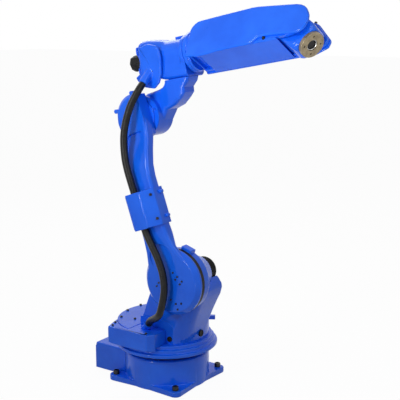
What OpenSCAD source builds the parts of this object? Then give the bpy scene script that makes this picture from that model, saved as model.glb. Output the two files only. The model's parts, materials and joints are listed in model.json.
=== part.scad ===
// Six-axis industrial robot arm: base, swivel, lower arm, elbow, forearm, wrist, tool flange.
// Millimetres. Origin on the swivel axis at floor level, +X forward, +Y to the left, +Z up.

/* [Axes] */
// Swivel axis to shoulder axis, forward
shoulder_x = 155; // [150:1:165]
// Shoulder axis above the floor
shoulder_z = 450; // [440:1:470]
// Shoulder axis to elbow axis
arm_length = 614; // [600:1:640]
// Elbow axis up to the forearm's roll axis
elbow_rise = 200; // [195:1:215]
// Elbow to the wrist's bend axis, along the roll axis
forearm_length = 640; // [630:1:670]
// Bend axis to the face of the tool flange
flange_reach = 100; // [98:1:110]

/* [Rest pose] */
// Lower arm leaning back from upright
arm_lean = 19.5; // [0:0.5:30]
// Forearm tilted up from level
forearm_pitch = 10.35; // [0:0.05:20]
// Forearm turned about its own length
forearm_roll = 32; // [0:1:45]
// Wrist bent down from the forearm's line
wrist_bend = 43.2; // [0:0.1:60]

/* [Base] */
// Radius of the base drum
base_r = 164; // [156:1:170]
// Height of the base drum
base_h = 120; // [112:1:126]
// Spacing of the floor bolts
foot_spacing = 285; // [280:1:292]
// Radius of a floor bolt hole
foot_hole_r = 9; // [7:0.5:10]
// Thickness of a foot
foot_t = 22; // [16:1:28]
// Radius of a foot's rounded tip
foot_tip_r = 25; // [22:1:30]
// Back of the connector box, behind the swivel axis
box_back = 275; // [260:1:290]
// Width of the connector box
box_w = 220; // [180:1:226]
// Top of the connector box
box_top = 115; // [105:1:118]

/* [Swivel] */
// Radius of the turntable rim
table_r = 196; // [190:1:202]
// Underside of the turntable
table_z = 140; // [136:1:144]
// Height of the turntable, with its steps
table_h = 44; // [40:1:48]
// Radius of the round neck above it
neck_r = 164; // [156:1:168]
// Near side of the neck, from the centre plane
neck_side = 118; // [112:1:120]
// Back of the neck, behind the swivel axis
neck_back = 38; // [34:1:44]
// Radius of the shoulder housing
shoulder_r = 117; // [110:1:119]
// Near side of the shoulder housing, from the centre plane
shoulder_side = 157; // [152:1:160]
// Radius of the round rear housing
rear_r = 191; // [184:1:193]
// Top of the rear housing and the cable box
rear_top = 240; // [232:1:248]
// Near side of the cable box, from the centre plane
cable_side = 212; // [206:1:216]
// Height of the cable box
cable_h = 66; // [54:1:68]
// Radius of the shoulder motor
motor_r = 51; // [46:1:54]
// Length of the shoulder motor
motor_l = 62; // [50:1:80]

/* [Lower arm] */
// Radius of the lower disc
disc_r = 122; // [119:1:124]
// Outer face of the arm at the shoulder, from the centre plane
arm_side = 194; // [190:1:198]
// Thickness of the slim part
arm_t = 46; // [42:1:48]
// Front edge of the slim part, ahead of the axis line
arm_front = 47; // [42:1:50]
// Rear edge of the slim part, behind the axis line
arm_rear = 64; // [58:1:70]
// Radius of the head at the elbow
head_r = 87; // [82:1:92]
// Outer face of the head, from the centre plane
head_side = 130; // [126:1:134]
// Thickness of the head
head_t = 50; // [44:1:52]
// Where the hose cover starts, from the shoulder axis
cover_from = 212; // [204:1:220]
// Length of the hose cover
cover_l = 134; // [124:1:144]
// Outer radius of the hose
hose_r = 13.5; // [11:0.5:14]

/* [Elbow] */
// Radius of the elbow hub
hub_r = 76; // [72:1:80]
// Far side of the hub, from the centre plane
hub_far = 22; // [18:1:30]
// Half width of the roll drive housing
roll_half = 64; // [60:1:67]
// Radius of its narrower neck
roll_neck_r = 58; // [54:1:60]
// Front of the roll drive, ahead of the elbow axis
roll_front = 214; // [210:1:218]
// Radius of the black rear cap
cap_r = 31; // [28:1:34]

/* [Forearm] */
// Radius of the collar
collar_r = 74; // [70:1:77]
// Length of the collar
collar_l = 24; // [20:1:26]
// Half width over the fork's side walls
fork_half = 64; // [62:1:68]
// Thickness of a side wall
fork_wall = 13; // [11:1:13]
// Thickness of a drive cover
cover_t = 10; // [8:1:12]
// Top of the forearm above the roll axis, at its highest
fore_top = 82; // [78:1:86]
// Underside of the forearm below the roll axis
fore_low = 59; // [56:1:62]
// Radius of the fork's end about the bend axis, forward
fork_end = 86; // [82:1:88]
// Half width of the wrist block
wrist_half = 46; // [42:1:46]
// Radius of the wrist drum about its bend axis
drum_r = 57; // [52:1:59]
// Radius of the tool flange
flange_r = 45; // [42:1:46]
// Thickness of the tool flange
flange_t = 13; // [11:1:14]
// Radius of the flange's centre bore
flange_bore_r = 20; // [16:0.5:22]
// Bolt circle of the flange
flange_pcd = 63; // [60:0.5:66]
// Radius of a flange bolt hole
flange_hole_r = 3; // [2.5:0.1:3.4]

/* [Hidden] */
$fn = 72;
blue = [0.07, 0.24, 0.86];
black = [0.06, 0.06, 0.06];
bronze = [0.62, 0.52, 0.36];
steel = [0.55, 0.55, 0.57];
run_gap = 0.4;
free_gap = 5;
skin = 8;
foot_at = foot_spacing / 2;
foot_reach = foot_at * sqrt(2);
table_top = table_z + table_h;
disc_back = shoulder_side + free_gap;
disc_face = arm_side - 10;
arm_far = arm_side - arm_t;
head_far = head_side - head_t;
hub_side = head_far - free_gap;
lean_in = arm_side - head_side;
gland_at = [10, -neck_side - 2.2 * hose_r];
gland_tilt = 48;
gland_turn = -30;
gland_l = 40;
hose_y = -arm_side - hose_r - 2;
hose_n = -28;
collar_x = roll_front + free_gap;
fore_x = collar_x + collar_l;
sweep_r = norm([flange_reach, flange_r]) + 2 * free_gap;
root_x = forearm_length - sweep_r;
nose = flange_reach - flange_t - run_gap;
roll_back = 6;
roll_low = roll_half + 20;
leg_near = -hub_side + 21;
belly_t = 6;
belly_x = fore_x + 44;
case_low = -fore_low + belly_t;
hose_end = [48, -roll_half - 42, elbow_rise - 84];
hose_end_tilt = 45;
hose_end_lean = 15;
head_bevel = 15;

function unit(v) = v / norm(v);

// Points of one rounded corner at q, between its neighbours p and s
function corner(p, q, s, r, n) =
    let (u = unit(p - q), v = unit(s - q))
    let (half = acos(u * v) / 2, c = q + unit(u + v) * r / sin(half))
    let (d = q + u * r / tan(half) - c, way = u[0] * v[1] - u[1] * v[0] > 0 ? -1 : 1)
    [for (i = [0 : n])
        let (t = way * i * (180 - 2 * half) / n)
        c + [d[0] * cos(t) - d[1] * sin(t), d[0] * sin(t) + d[1] * cos(t)]];

// Outline with rounded corners, from points [x, y, radius]
function rounded(p, n = 6) =
    let (m = len(p), q = [for (a = p) [a[0], a[1]]])
    [for (i = [0 : m - 1])
        each (p[i][2] == 0
            ? [q[i]]
            : corner(q[(i + m - 1) % m], q[i], q[(i + 1) % m], p[i][2], n))];

// Rounded rectangle between two corners
function slab(x0, x1, y0, y1, r, n = 5) =
    rounded([[x0, y0, r], [x1, y0, r], [x1, y1, r], [x0, y1, r]], n);

// Solid through closed rings of equal length, counter-clockwise seen from its end
module loft(rings) {
    k = len(rings[0]);
    m = len(rings);
    sides = [for (i = [0 : m - 2]) for (j = [0 : k - 1]) each [
        [i * k + j, (i + 1) * k + j, (i + 1) * k + (j + 1) % k],
        [i * k + j, (i + 1) * k + (j + 1) % k, i * k + (j + 1) % k]]];
    ends = [[for (j = [0 : k - 1]) j], [for (j = [0 : k - 1]) m * k - 1 - j]];
    polyhedron(points = [for (r = rings) each r], faces = concat(sides, ends));
}

// Smooth curve through the points p, n steps to a span
function curve(p, n) = [
    for (i = [0 : len(p) - 2]) for (j = [0 : n - (i == len(p) - 2 ? 0 : 1)])
        let (a = p[max(i - 1, 0)], b = p[i], c = p[i + 1], d = p[min(i + 2, len(p) - 1)], t = j / n)
        0.5 * (2 * b + (c - a) * t + (2 * a - 5 * b + 4 * c - d) * t * t
            + (3 * b - a - 3 * c + d) * t * t * t)];

// Round tube along a path that never runs sideways
module tube(path, r, k) {
    m = len(path);
    loft([for (i = [0 : m - 1])
        let (t = unit(path[min(i + 1, m - 1)] - path[max(i - 1, 0)]))
        let (e = unit(cross([0, 1, 0], t)), f = cross(t, e))
        [for (j = [0 : k - 1]) path[i] + r * (e * cos(360 * j / k) + f * sin(360 * j / k))]]);
}

// Ring of a bar from point a to point b in x and z, with its near and far sides
function rung(a, b, near, far, r) =
    let (u = unit(b - a), w = norm(b - a))
    [for (p = rounded([[0, near, r], [w, near, r], [w, far, r / 3], [0, far, r / 3]]))
        [a[0] + u[0] * p[0], p[1], a[1] + u[1] * p[0]]];

module along_y(y0, y1, r) {
    translate([0, y0, 0]) rotate([-90, 0, 0]) cylinder(r = r, h = y1 - y0);
}

module along_x(x0, x1, r) {
    translate([x0, 0, 0]) rotate([0, 90, 0]) cylinder(r = r, h = x1 - x0);
}

// Outline in x and z, thick from y0 to y1
module plate_y(y0, y1, points) {
    translate([0, y1, 0]) rotate([90, 0, 0]) linear_extrude(y1 - y0) polygon(points);
}

function turn_y(v, t) = [v[0] * cos(t) + v[2] * sin(t), v[1], v[2] * cos(t) - v[0] * sin(t)];

// Points given in the lower arm's and the elbow's own lines
function on_arm(p) = [shoulder_x, 0, shoulder_z] + turn_y(p, -arm_lean);
function on_elbow(p) = on_arm([0, 0, arm_length]) + turn_y(p, -forearm_pitch);

module at_shoulder() {
    translate([shoulder_x, 0, shoulder_z]) rotate([0, -arm_lean, 0]) children();
}

module at_elbow() {
    at_shoulder() translate([0, 0, arm_length]) rotate([0, arm_lean - forearm_pitch, 0]) children();
}

module at_roll() {
    at_elbow() translate([0, 0, elbow_rise]) rotate([-forearm_roll, 0, 0]) children();
}

module at_wrist() {
    at_roll() translate([forearm_length, 0, 0]) rotate([0, wrist_bend, 0]) children();
}

// Solid of revolution about y, from points [radius, distance towards -y]
module turned_y(y, points) {
    translate([0, y, 0]) rotate([90, 0, 0]) rotate_extrude() polygon(points);
}

module foot_outline() {
    root = base_r * [cos(34), sin(34)];
    reach = norm(root - [foot_reach, 0]);
    out = atan2(root[1], root[0] - foot_reach) - acos(foot_tip_r / reach);
    tip = [foot_reach + foot_tip_r * cos(out), foot_tip_r * sin(out)];
    polygon([[0, -1], root - [0, 2 * root[1]], tip - [0, 2 * tip[1]], tip, root, [0, 1]]);
    translate([foot_reach, 0]) circle(r = foot_tip_r);
}

module base_casting() {
    lip = 6;
    color(blue) difference() {
        union() {
            rotate_extrude() polygon(rounded([
                [0, 0, 0], [base_r, 0, 0], [base_r, base_h - lip, 0], [base_r - lip, base_h, 0],
                [0, base_h, 0]]));
            for (a = [45 : 90 : 315]) rotate([0, 0, a]) linear_extrude(foot_t) foot_outline();
        }
        for (x = [-foot_at, foot_at]) for (y = [-foot_at, foot_at]) {
            translate([x, y, -1]) cylinder(r = foot_hole_r, h = foot_t + 2);
        }
    }
}

module bearing_ring() {
    color(black) translate([0, 0, base_h]) cylinder(r = base_r - 14, h = table_z - base_h - run_gap);
}

module connector_box() {
    front = base_r * 0.6;
    low = 8;
    wall = 14;
    color(blue) difference() {
        translate([-box_back, 0, 0]) rotate([90, 0, 90]) linear_extrude(box_back - front) polygon(rounded([
            [-box_w / 2, low, 3], [box_w / 2, low, 3], [box_w / 2, box_top, 8], [-box_w / 2, box_top, 8]]));
        translate([0, 0, -1]) cylinder(r = base_r + run_gap, h = base_h + 2);
        translate([-foot_at - foot_tip_r - free_gap, -box_w, 0]) cube([base_r, 2 * box_w, foot_t + run_gap]);
        translate([-box_back - 1, wall - box_w / 2, low + wall]) {
            cube([skin, box_w - 2 * wall, box_top - low - 2 * wall]);
        }
    }
}

// Round socket on the back of the connector box, y across it
module socket(y) {
    x = -box_back + skin - 1;
    translate([0, y, (box_top + foot_t) / 2]) difference() {
        along_x(x - 20, x, 21);
        along_x(x - 21, x - 6, 16);
    }
}

module power_socket() {
    color(black) socket(-0.22 * box_w);
}

module signal_socket() {
    color(black) socket(0.18 * box_w);
}

module turntable() {
    step = table_h / 3;
    drop = 10;
    color(blue) rotate_extrude() polygon(rounded([
        [0, table_z, 0], [table_r - 4, table_z, 0], [table_r, table_z + 4, 3], [table_r, table_z + step, 4],
        [table_r - drop, table_z + step + 2, 0], [table_r - drop, table_z + 2 * step, 4],
        [table_r - 2 * drop, table_z + 2 * step + 2, 0], [table_r - 2 * drop, table_top, 5],
        [0, table_top, 0]]));
}

// Cuts through the upright neck: [height, back, front, radius of the near front corner]
function neck_sections() = [
    [table_top + 6, -neck_back + 2, neck_r - 14, 70], [rear_top - 4, -neck_back + 2, neck_r + 5, 64],
    [rear_top + 22, -neck_back + 4, neck_r + 14, 58],
    [shoulder_z - 150, shoulder_x - 176, shoulder_x + 39, 52],
    [shoulder_z - 114, shoulder_x - 162, shoulder_x + 56, 46],
    [shoulder_z - 80, shoulder_x - 149, shoulder_x + 73, 40],
    [shoulder_z - 54, shoulder_x - 140, shoulder_x + 80, 34],
    [shoulder_z - 40, shoulder_x - 134, shoulder_x + 78, 30],
    [shoulder_z - 22, shoulder_x - 127, shoulder_x + 65, 26],
    [shoulder_z - 10, shoulder_x - 122, shoulder_x + 51, 22]];

// Motor side of the shoulder housing ends here
function shoulder_far() = -14;

// Turned shoulder housing, grown by e: wide at the arm, narrow at the motor
module shoulder_shape(e) {
    far = shoulder_far() + e;
    l = shoulder_side + far;
    translate([shoulder_x, 0, shoulder_z]) turned_y(far, rounded([
        [0, 0, 0], [motor_r + 14 + e, 0, 4], [motor_r + 30 + e, 42 + e, 30], [shoulder_r + e, 96 + e, 16],
        [shoulder_r + e, l, 0], [0, l, 0]]));
}

module swivel_casting() {
    t = 12;
    far = 38;
    near = -neck_side + 1;
    color(blue) difference() {
        union() {
            loft([for (n = neck_sections())
                [for (p = rounded([[n[1], near, 6], [n[2], near, n[3]], [n[2], far, 10], [n[1], far, 6]]))
                    [p[0], p[1], n[0]]]]);
            intersection() {
                translate([0, 0, table_top]) rotate_extrude() polygon(rounded([
                    [0, 0, 0], [neck_r, 0, 0], [neck_r, 70, 0], [neck_r - 20, 88, 0], [0, 88, 0]]));
                translate([-neck_back, -neck_side, table_top]) cube([2 * neck_r, 2 * neck_r, 100]);
            }
            rotate([0, 0, 32]) translate([neck_r - t, -9, rear_top - 4]) cube([3 * t, 18, 14]);
        }
        shoulder_shape(run_gap);
        translate([shoulder_x, 0, shoulder_z]) along_y(shoulder_far() - 1, far + 1, motor_r + 6 + run_gap);
    }
}

module shoulder_housing() {
    t = 12;
    color(blue) {
        shoulder_shape(0);
        translate([shoulder_x, -shoulder_side + t, shoulder_z]) rotate([0, -72, 0]) {
            translate([shoulder_r - t, 0, -22]) cube([2 * t + 3, 30, 44]);
        }
    }
}

module shoulder_boss() {
    color(steel) translate([shoulder_x, 0, shoulder_z]) {
        along_y(-disc_back + run_gap, -shoulder_side, 0.7 * disc_r);
    }
}

module shoulder_motor() {
    y = shoulder_far();
    color(black) translate([shoulder_x, 0, shoulder_z]) turned_y(y + motor_l, rounded([
        [0, 0, 0], [motor_r - 10, 0, 3], [motor_r, 12, 3], [motor_r, motor_l - 12, 0],
        [motor_r + 6, motor_l - 12, 2], [motor_r + 6, motor_l, 0], [0, motor_l, 0]]));
}

// Plan of the rear housing, grown by e
module rear_plan(e) {
    intersection() {
        circle(r = rear_r + e, $fn = 144);
        translate([-2 * rear_r, -2 * rear_r]) square([2 * rear_r - neck_back - run_gap, 4 * rear_r]);
    }
}

module rear_housing() {
    color(blue) translate([0, 0, table_top]) linear_extrude(rear_top - skin - table_top) rear_plan(0);
}

module rear_cover() {
    color(blue) translate([0, 0, rear_top - skin]) linear_extrude(skin) rear_plan(2);
}

module cable_box() {
    g = run_gap;
    front = 62;
    color(blue) difference() {
        translate([0, 0, rear_top - cable_h]) linear_extrude(cable_h) polygon(rounded([
            [-neck_back - 112, -neck_side + 10, 0], [-neck_back - 86, -cable_side, 8],
            [front, -cable_side, 8], [front + 18, -cable_side + 26, 10], [front + 18, -neck_side - g, 0],
            [0, -neck_side - g, 0], [0, -neck_side + 10, 0]]));
        translate([0, 0, table_z]) cylinder(r = rear_r + 2 + g, h = rear_top);
        translate([0, 0, table_z]) cylinder(r = table_r + g, h = table_h + g);
    }
    color(blue) translate([0, 0, table_top + g]) linear_extrude(rear_top - table_top - g) intersection() {
        circle(r = rear_r + 2 + g);
        translate([-neck_back, -2 * rear_r]) square([front + 18 + neck_back, 2 * rear_r - neck_side - g]);
    }
}

// Unit direction in which the hose leaves the gland: towards the front and outwards
function gland_way() =
    [sin(gland_tilt) * cos(gland_turn), sin(gland_tilt) * sin(gland_turn), cos(gland_tilt)];

module cable_gland() {
    nut = hose_r + 4.5;
    color(black) translate([gland_at[0], gland_at[1], rear_top]) difference() {
        union() {
            cylinder(r = nut, h = 8, $fn = 6);
            rotate([0, 0, gland_turn]) rotate([0, gland_tilt, 0]) {
                cylinder(r = nut - 3, h = gland_l - 12);
                translate([0, 0, gland_l - 14]) cylinder(r = nut, h = 14, $fn = 6);
            }
        }
        translate([-gland_l, -gland_l, -gland_l]) cube([2 * gland_l, 2 * gland_l, gland_l]);
    }
}

// Cuts through the lower arm: [along the arm, rear edge, front edge, share of the bend, thickness]
function arm_sections() = [
    [20, -100, 98, 0.16, 21],
    [70, -86, 84, 0.14, 23],
    [disc_r + 3, -72, 59, 0.06, 28],
    [disc_r + 50, -arm_rear - 1, arm_front + 3, 0, arm_t],
    [cover_from, -arm_rear, arm_front, 0, arm_t],
    [arm_length - 224, -arm_rear, arm_front, 0, arm_t],
    [arm_length - 184, -arm_rear, arm_front, 0.1, arm_t],
    [arm_length - 134, -arm_rear - 2, arm_front, 0.42, arm_t],
    [arm_length - 84, -arm_rear - 8, arm_front, 0.8, arm_t],
    [arm_length - 40, -head_r + 8, arm_front, 0.97, arm_t + 2],
    [arm_length, -head_r + 4, arm_front - 3, 1, head_t],
    [arm_length + 45, -head_r + 16, arm_front - 9, 1, head_t]];

// Pocket in the outer face of the lower arm: [along the arm, share of the bend, drawn in at its sides]
function pocket_sections() = [
    [cover_from + cover_l - 30, 0, 0], [arm_length - 224, 0, 0], [arm_length - 184, 0.1, 0],
    [arm_length - 134, 0.42, 0], [arm_length - 84, 0.8, 0], [arm_length - 68, 0.862, 2],
    [arm_length - 60, 0.893, 7], [arm_length - 55, 0.912, 16]];

module lower_arm_casting() {
    round_r = 13;
    deep = 7;
    color(blue) at_shoulder() difference() {
        union() {
            turned_y(-disc_back, rounded([
                [0, 0, 0], [disc_r, 0, 0], [disc_r, 7, 0], [disc_r - 15, disc_face - disc_back, 9],
                [0, disc_face - disc_back, 0]]));
            loft([for (s = arm_sections())
                let (y = -arm_side + s[3] * lean_in, r = min(round_r, s[4] / 2 - 1))
                [for (p = slab(s[1], s[2], y, y + s[4], r)) [p[0], p[1], s[0]]]]);
            intersection() {
                translate([0, 0, arm_length]) turned_y(-head_far, rounded([
                    [0, 0, 0], [head_r, 0, 0], [head_r, head_t - head_bevel, 8],
                    [head_r - head_bevel, head_t, 12], [0, head_t, 0]]));
                translate([-2 * head_r, -head_side, arm_length - head_r]) {
                    cube([2 * head_r + arm_front - 4, head_t, 2 * head_r]);
                }
            }
            for (a = [-60, 10]) translate([0, 0, arm_length]) rotate([0, a, 0]) {
                translate([0, 0, head_r + 2]) along_y(-head_side + 6, -head_far - 16, 8);
            }
        }
        translate([-9, 0, disc_r - 25]) along_y(-2 * arm_side, -disc_face, 50);
        loft([for (s = pocket_sections())
            let (y = -arm_side + s[1] * lean_in + deep, side = 14 + s[2])
            [for (p = slab(side - arm_rear, arm_front - side, y - 5 * deep, y, 5)) [p[0], p[1], s[0]]]]);
    }
}

// Section of the hose cover: forward along x, sideways along y
module cover_section() {
    g = run_gap;
    out = arm_side + 2 * hose_r + 8;
    lip = 5;
    difference() {
        polygon(rounded([
            [-arm_rear - lip, -arm_far, 0], [-arm_rear - lip, -out, 18], [6, -out, 18],
            [arm_front + lip, -arm_side - lip, 8], [arm_front + lip, -arm_far, 0]]));
        polygon(rounded([
            [-arm_rear - g, -arm_far + 9, 0], [-arm_rear - g, -arm_side - g, 0],
            [arm_front + g, -arm_side - g, 0], [arm_front + g, -arm_far + 9, 0]]));
        translate([hose_n, hose_y]) circle(r = hose_r + 0.8);
        translate([hose_n - hose_r - 0.8, hose_y]) square([2 * hose_r + 1.6, hose_r + 4]);
    }
}

module hose_cover() {
    color(blue) at_shoulder() {
        translate([0, 0, cover_from]) linear_extrude(cover_l) cover_section();
        for (l = [0.2, 0.86]) translate([arm_front + 8, 0, cover_from + l * cover_l]) {
            along_y(-arm_far - 24, -arm_far - 4, 7);
        }
    }
}

module elbow_boss() {
    color(steel) at_elbow() along_y(-head_far, -hub_side - run_gap, 0.75 * hub_r);
}

// Rungs of the elbow's leg, from the hub up to the underside of the roll drive
function leg_rungs() =
    let (z = elbow_rise - roll_low - run_gap, f = roll_front)
    [[[-50, 20], [40, -60]], [[-20, hub_r - 10], [hub_r - 6, -26]], [[14, 80], [98, 10]],
        [[45, 84], [137, 22]], [[70, 88], [168, 46]], [[88, z - 22], [f - 30, 62]],
        [[96, z - 14], [f - 29, z - 35]], [[100, z - 7], [f - 8, z - 15]], [[101, z], [f - 2, z]]];

module elbow_casting() {
    color(blue) at_elbow() {
        turned_y(hub_far, rounded([
            [0, 0, 0], [hub_r - 8, 0, 3], [hub_r, 8, 3], [hub_r, hub_far + hub_side, 0],
            [0, hub_far + hub_side, 0]]));
        loft([for (r = leg_rungs()) rung(r[0], r[1], leg_near, hub_far - 2, 17)]);
    }
}

module elbow_cap() {
    color(blue) at_elbow() turned_y(hub_far + 34, rounded([
        [0, 0, 0], [hub_r - 30, 0, 8], [hub_r - 22, 34, 0], [0, 34, 0]]));
}

// Cuts through the roll drive: [along it, half width, top, underside, upper and lower corner radius]
function roll_sections() =
    let (b = roll_back, h = roll_half, r = roll_neck_r)
    [[b, h - 14, h - 8, h - 14, 18, 18], [b + 8, h - 4, h + 2, h - 4, 24, 24],
        [b + 22, h, h + 7, h, 28, 24], [b + 50, h, h + 7, h + 4, 30, 24], [b + 84, h, h + 1, h + 12, 40, 22],
        [b + 104, h - 1, h - 4, h + 18, 50, 20], [b + 118, r, r, roll_low, r - 0.5, 18],
        [roll_front, r - 0.5, r - 0.5, roll_low, r - 1, 18]];

module roll_housing() {
    color(blue) at_elbow() translate([0, 0, elbow_rise]) {
        loft([for (s = roll_sections())
            let (w = s[1], low = -s[3], top = s[2])
            [for (p = rounded([[-w, low, s[5]], [w, low, s[5]], [w, top, s[4]], [-w, top, s[4]]], 8))
                [s[0], p[0], p[1]]]]);
        along_x(roll_front - 20, roll_front - 0.5, roll_neck_r + 8);
        translate([roll_front - 60, -10, roll_neck_r - 6]) cube([38, 20, 13]);
    }
}

module rear_plate() {
    half = 54;
    t = 8;
    color(blue) at_elbow() translate([roll_back - t, 0, elbow_rise]) rotate([90, 0, 90]) {
        linear_extrude(t) difference() {
            polygon(slab(-half, half, -half, half, 8));
            for (a = [0 : 90 : 270]) rotate(a) translate([half + 22, 0]) circle(r = 34);
        }
    }
}

module rear_cap() {
    l = 58;
    color(black) at_elbow() translate([roll_back - 8 - l, 0, elbow_rise]) rotate([0, 90, 0]) {
        cylinder(r = cap_r, h = l, $fn = 8);
    }
}

// Side plate of the roll drive, with ears and an angled socket for the hose
module hose_bracket() {
    t = 12;
    y = -roll_half;
    color(blue) at_elbow() {
        translate([0, 0, elbow_rise]) plate_y(y - t, y, rounded([
            [30, 48, 8], [22, -44, 6], [-5, -57, 6], [8, -80, 6], [32, -98, 12], [73, -108, 12],
            [98, -90, 8], [114, -60, 10], [122, 0, 40], [116, 40, 24], [70, 56, 40]]));
        difference() {
            translate(hose_end) rotate([-hose_end_tilt, hose_end_lean, 0]) {
                cylinder(r = hose_r + 3.5, h = 6 * t);
            }
            translate([-roll_half, y - t / 2, 0]) cube([3 * roll_half, 6 * t, 2 * elbow_rise]);
        }
    }
}

module roll_ring() {
    color(steel) at_elbow() translate([0, 0, elbow_rise]) {
        along_x(roll_front, collar_x - run_gap, roll_neck_r - 6);
    }
}

module forearm_collar() {
    color(blue) at_roll() translate([collar_x, 0, 0]) rotate([0, 90, 0]) rotate_extrude() polygon(rounded([
        [0, 0, 0], [collar_r - 3, 0, 2], [collar_r, 3, 2], [collar_r, collar_l - 10, 3],
        [collar_r - 4, collar_l - 7, 0], [collar_r - 4, collar_l, 0], [0, collar_l, 0]]));
}

// Cuts through the near drive cover: [along it, underside, top, drawn in], deep at the rear, slim in front
function near_cover() =
    let (l = forearm_length, x = fore_x, t = fore_top, low = -fore_low - 6)
    [[x, low + 5, 26, 6], [x + 1, low + 2, 33, 3], [x + 4, low, 46, 0], [x + 9, low, 57, 0],
        [x + 17, low, 66, 0], [x + 30, low - 3, t - 8, 0], [x + 52, low - 8, t - 6, 0],
        [x + 84, low - 7, t - 5, 0], [x + 130, low - 2, t - 3, 0], [l - 172, low, t - 1, 0],
        [l - 142, low, t, 0], [l - 126, low + 3, t - 1, 0], [l - 115, low + 11, t - 2, 0],
        [l - 102, low + 19, t - 4, 0], [l - 82, low + 22, t - 7, 0], [l - 50, low + 20, t - 12, 0],
        [l, low + 15, t - 20, 0], [l + 34, low + 10, t - 26, 0], [l + 52, low + 10, t - 32, 0],
        [l + 65, low + 15, t - 40, 0], [l + 75, low + 24, t - 51, 0],
        [l + fork_end - 5, low + 36, t - 64, 0], [l + fork_end - 1, low + 46, t - 75, 3],
        [l + fork_end, low + 52, t - 82, 6]];

// Side outline of the far wall and its cover, drawn in by e, with a straight lower edge and longer nose
function far_side(e) =
    let (l = forearm_length, low = -fore_low + 2 + e)
    rounded([
        [fore_x + e, low, 3], [fore_x + e, 30 - e, 20], [fore_x + 22 + e, fore_top - 8 - e, 30],
        [l - 140, fore_top - e, 80], [l + 42, 63 - e, 30], [l + fork_end + 15 - e, -16, 16],
        [l + fork_end + 6 - e, -40 + e, 10], [l + 48, low, 24]]);

// Side outline of the near wall, round about the bend axis
function near_wall() =
    let (l = forearm_length, low = case_low)
    rounded([
        [fore_x + 4, low, 3], [fore_x + 4, 26, 20], [fore_x + 26, fore_top - 12, 30],
        [l - 140, fore_top - 4, 80], [l + 20, 58, 30], [l + drum_r + 3, 48, 30], [l + drum_r + 3, low, 50]]);

// Plan of the slot between the fork's walls, in the roll frame
module slot_plan(inner) {
    far = forearm_length + 2 * sweep_r;
    polygon(rounded([
        [root_x, -inner, 20], [far, -inner, 0], [far, inner, 0], [root_x, inner, 20]]));
}

module forearm_casting() {
    inner = fork_half - fork_wall;
    l = forearm_length;
    color(blue) at_roll() difference() {
        union() {
            plate_y(-fork_half, 0, near_wall());
            plate_y(0, fork_half, far_side(4));
            plate_y(-fork_half, fork_half, rounded([
                [fore_x, case_low, 0], [fore_x, 30, 20], [fore_x + 26, fore_top - 14, 30],
                [l - 140, fore_top - 8, 0], [root_x + 40, fore_top - 12, 0], [root_x + 40, case_low, 0]]));
        }
        translate([0, 0, -sweep_r]) linear_extrude(2 * sweep_r) slot_plan(inner);
        plate_y(-fork_half + 14, fork_half - 14, rounded([
            [fore_x + 8, -2 * fore_low, 0], [belly_x, -2 * fore_low, 0],
            [belly_x, -fore_low + 26, 10], [fore_x + 8, -fore_low + 26, 10]]));
    }
}

module drive_cover_right() {
    near = -fork_half - cover_t;
    color(blue) at_roll() loft([for (c = near_cover())
        let (y = near + c[3], low = c[1], top = c[2], r = 6 - c[3] / 2)
        [for (p = rounded([[y, low, r], [-fork_half, low, 0], [-fork_half, top, 0], [y, top, r]]))
            [c[0], p[0], p[1]]]]);
}

// Cover that closes the fork's underside as far as the wrist drum, cut off at the slope of its lowest bend
module belly_cover() {
    half = fork_half - run_gap;
    end = forearm_length - sqrt(pow(drum_r + free_gap + 1, 2) - pow(case_low, 2));
    cuts = [[belly_x, 3, 0], [belly_x + 2, 1, 0], [belly_x + 5, 0, 0], [end, 0, 1]];
    color(blue) at_roll() loft([for (c = cuts)
        let (low = -fore_low + c[1], r = 5 - c[1])
        [for (p = rounded([[-half, low, r], [half, low, r], [half, case_low, 0], [-half, case_low, 0]]))
            [c[0] + c[2] * (case_low - p[1]), p[0], p[1]]]]);
}

module drive_cover_left() {
    color(blue) at_roll() plate_y(fork_half, fork_half + cover_t, far_side(0));
}

module pivot_right() {
    inner = fork_half - fork_wall;
    color(steel) at_roll() translate([forearm_length, 0, 0]) {
        along_y(-inner, -wrist_half - run_gap, 0.7 * drum_r);
    }
}

module pivot_left() {
    inner = fork_half - fork_wall;
    color(steel) at_roll() translate([forearm_length, 0, 0]) {
        along_y(wrist_half + run_gap, inner, 0.7 * drum_r);
    }
}

// Cuts through the wrist's nose: [along it, half width, half height, corner radius]
function nose_sections() = [
    [0, wrist_half, drum_r - 3, 6],
    [nose - 22, wrist_half, drum_r - 3, 12],
    [nose - 8, wrist_half - 1, drum_r - 6, 22],
    [nose, wrist_half - 3, flange_r + 1, 34]];

module wrist_housing() {
    w = wrist_half;
    color(blue) at_wrist() difference() {
        union() {
            along_y(-w, w, drum_r);
            loft([for (s = nose_sections())
                [for (p = slab(-s[1], s[1], -s[2], s[2], s[3], 8)) [s[0], p[0], p[1]]]]);
        }
        along_x(nose - 60, nose + 1, flange_bore_r - 2);
    }
}

module tool_flange() {
    x0 = nose + run_gap;
    color(bronze) at_wrist() difference() {
        along_x(x0, flange_reach, flange_r);
        along_x(x0 - 1, flange_reach + 1, flange_bore_r);
        for (a = [45 : 90 : 315]) {
            rotate([a, 0, 0]) translate([0, 0, flange_pcd / 2]) {
                along_x(x0 - 1, flange_reach + 1, flange_hole_r);
            }
        }
    }
}

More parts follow.
